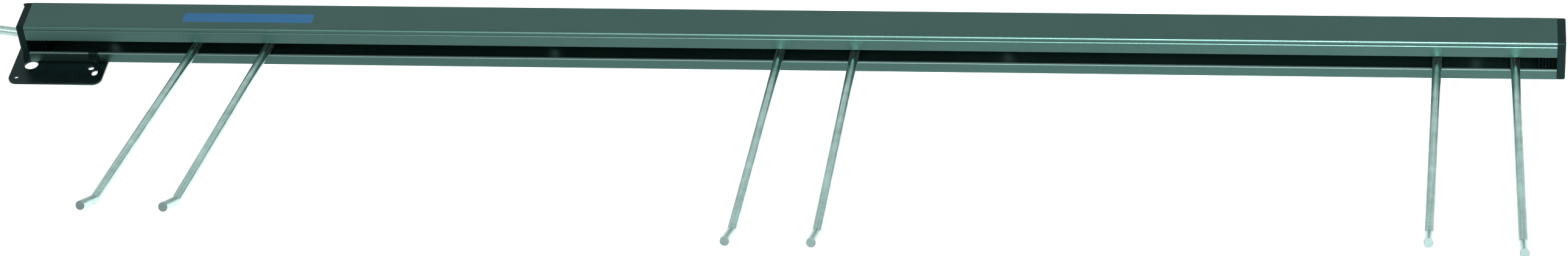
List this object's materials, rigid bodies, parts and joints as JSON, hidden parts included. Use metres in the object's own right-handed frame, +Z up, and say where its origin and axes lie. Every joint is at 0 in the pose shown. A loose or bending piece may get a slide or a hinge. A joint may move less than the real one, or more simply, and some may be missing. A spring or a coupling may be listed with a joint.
{
  "type": "wall hook rack",
  "caption": "Wall rack: a slotted aluminium rail with end caps and a drilled corner plate, and paired wire hooks that slide along it and lift.",
  "frame": {"origin": "centre of the rail's back face, which lies against the wall", "axes": "+X along the rail to its right end, +Y into the wall, +Z up; the hooks reach towards -Y"},
  "size_m": [1.0745, 0.2489, 0.0697],
  "materials": {
    "anodised_aluminium": "satin anodised, grey-green",
    "cap_plastic": "moulded, fine texture",
    "glider_nylon": "moulded nylon",
    "black_steel": "black, satin",
    "zinc_wire": "bright zinc plate",
    "screw_steel": "zinc plate"
  },
  "bodies": {
    "rack": {"rail": "anodised_aluminium", "end_cap_left": "cap_plastic", "end_cap_right": "cap_plastic", "cap_screw_left": "screw_steel", "cap_screw_right": "screw_steel", "corner_plate": "black_steel", "side_hook": "zinc_wire"},
    "glider_left": {"glider_left": "glider_nylon"},
    "hook_left": {"hook_left": "zinc_wire"},
    "glider_middle": {"glider_middle": "glider_nylon"},
    "hook_middle": {"hook_middle": "zinc_wire"},
    "glider_right": {"glider_right": "glider_nylon"},
    "hook_right": {"hook_right": "zinc_wire"}
  },
  "joints": [
    {"name": "left_hook_slide", "type": "slide", "parent": "rack", "child": "glider_left", "axis": [1, 0, 0], "range_m": [-0.063, 0.166]},
    {"name": "left_hook_lift", "type": "hinge", "parent": "glider_left", "child": "hook_left", "pos_m": [-0.36072, -0.0077, 0.0077], "axis": [-1, 0, 0], "range_deg": [0, 10]},
    {"name": "middle_hook_slide", "type": "slide", "parent": "rack", "child": "glider_middle", "axis": [1, 0, 0], "range_m": [-0.166, 0.179]},
    {"name": "middle_hook_lift", "type": "hinge", "parent": "glider_middle", "child": "hook_middle", "pos_m": [0.02887, -0.0077, 0.0077], "axis": [-1, 0, 0], "range_deg": [0, 10]},
    {"name": "right_hook_slide", "type": "slide", "parent": "rack", "child": "glider_right", "axis": [1, 0, 0], "range_m": [-0.179, 0.01]},
    {"name": "right_hook_lift", "type": "hinge", "parent": "glider_right", "child": "hook_right", "pos_m": [0.44963, -0.0077, 0.0077], "axis": [-1, 0, 0], "range_deg": [0, 10]}
  ]
}
